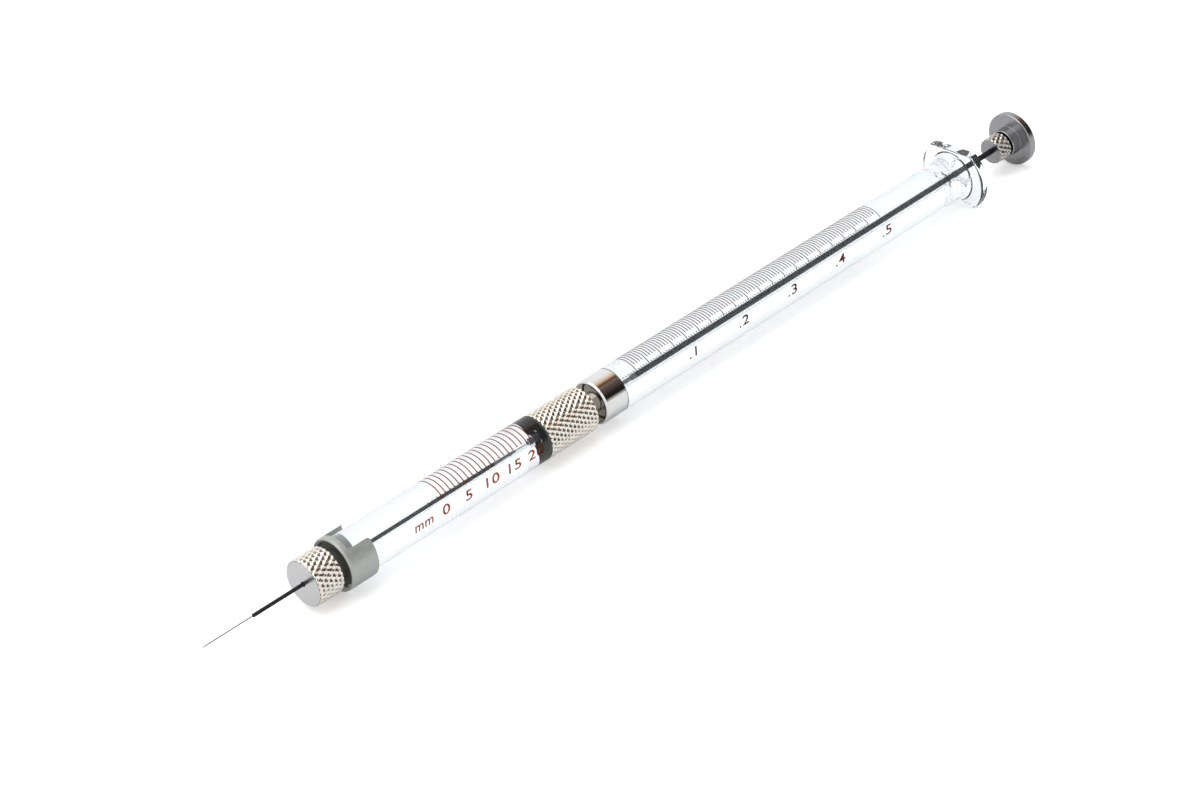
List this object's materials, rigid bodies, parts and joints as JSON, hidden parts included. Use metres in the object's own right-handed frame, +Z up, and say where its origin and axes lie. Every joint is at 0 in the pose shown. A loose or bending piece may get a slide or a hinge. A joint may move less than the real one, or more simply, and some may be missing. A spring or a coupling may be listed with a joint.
{
  "type": "microsyringe",
  "caption": "Glass microsyringe with flanged barrel, black plunger rod with clamping nut and stepped button, and a removable needle unit with graduated glass guide tube and adjustable sleeve.",
  "frame": {"origin": "on the bench surface, under the middle of the syringe's length, straight below its axis", "axes": "+X along the syringe's axis from needle tip to plunger button; +Z up, square to the flange's two flats; the printed scales face +Z and the camera's side of the picture is -Y"},
  "size_m": [0.193, 0.014, 0.0104],
  "materials": {
    "barrel_glass": "clear polished borosilicate glass",
    "guide_glass": "clear polished glass",
    "polished_metal": "mirror polished",
    "knurled_nickel": "diamond knurled, bright",
    "satin_metal": "turned, satin",
    "dark_metal": "dark turned metal",
    "needle_steel": "drawn stainless steel",
    "sleeve_steel": "darkened drawn steel",
    "seal_plastic": "soft white seal",
    "black_rod": "black coated rod"
  },
  "bodies": {
    "barrel": {"barrel": "barrel_glass", "barrel_ferrule": "polished_metal", "union_stud": "polished_metal"},
    "plunger": {"plunger_rod": "black_rod", "rod_tip": "black_rod", "plunger_wire": "needle_steel", "plunger_button": "dark_metal"},
    "rod_chuck": {"rod_collet": "satin_metal"},
    "plunger_clamp": {"plunger_nut": "knurled_nickel"},
    "needle_unit": {"guide_tube": "guide_glass", "tube_socket": "dark_metal", "swivel_bush": "satin_metal", "front_collar": "satin_metal", "collet_stud": "dark_metal", "needle": "needle_steel", "needle_shank": "needle_steel", "needle_seal": "seal_plastic"},
    "hub": {"knurled_hub": "knurled_nickel"},
    "sleeve": {"needle_sleeve": "sleeve_steel", "sleeve_bush": "polished_metal"},
    "sleeve_chuck": {"lock_collet": "satin_metal"},
    "lock_nut": {"front_lock_nut": "knurled_nickel"}
  },
  "joints": [
    {"name": "plunger_slide", "type": "slide", "parent": "barrel", "child": "plunger", "axis": [1, 0, 0], "range_m": [0, 0.0609]},
    {"name": "unit_slide", "type": "slide", "parent": "barrel", "child": "needle_unit", "axis": [-1, 0, 0], "range_m": [0, 0.0015]},
    {"name": "hub_turn", "type": "hinge", "parent": "needle_unit", "child": "hub", "pos_m": [-0.01963, 0, 0.0052], "axis": [-1, 0, 0], "range_deg": [0, 1080]},
    {"name": "sleeve_slide", "type": "slide", "parent": "needle_unit", "child": "sleeve", "axis": [-1, 0, 0], "range_m": [-0.0085, 0.0103]},
    {"name": "sleeve_chuck_slide", "type": "slide", "parent": "needle_unit", "child": "sleeve_chuck", "axis": [-1, 0, 0], "range_m": [0, 0.00025]},
    {"name": "lock_nut_turn", "type": "hinge", "parent": "sleeve_chuck", "child": "lock_nut", "pos_m": [-0.07333, 0, 0.0052], "axis": [-1, 0, 0], "range_deg": [0, 180]},
    {"name": "rod_chuck_slide", "type": "slide", "parent": "plunger", "child": "rod_chuck", "axis": [-1, 0, 0], "range_m": [0, 0.00025]},
    {"name": "plunger_clamp_turn", "type": "hinge", "parent": "rod_chuck", "child": "plunger_clamp", "pos_m": [0.09118, 0, 0.0052], "axis": [-1, 0, 0], "range_deg": [0, 180]}
  ],
  "couplings": [
    {"joint": "hub_turn", "follows": "unit_slide", "rad_per_m": 12566},
    {"joint": "lock_nut_turn", "follows": "sleeve_chuck_slide", "rad_per_m": 12566},
    {"joint": "plunger_clamp_turn", "follows": "rod_chuck_slide", "rad_per_m": 12566}
  ]
}
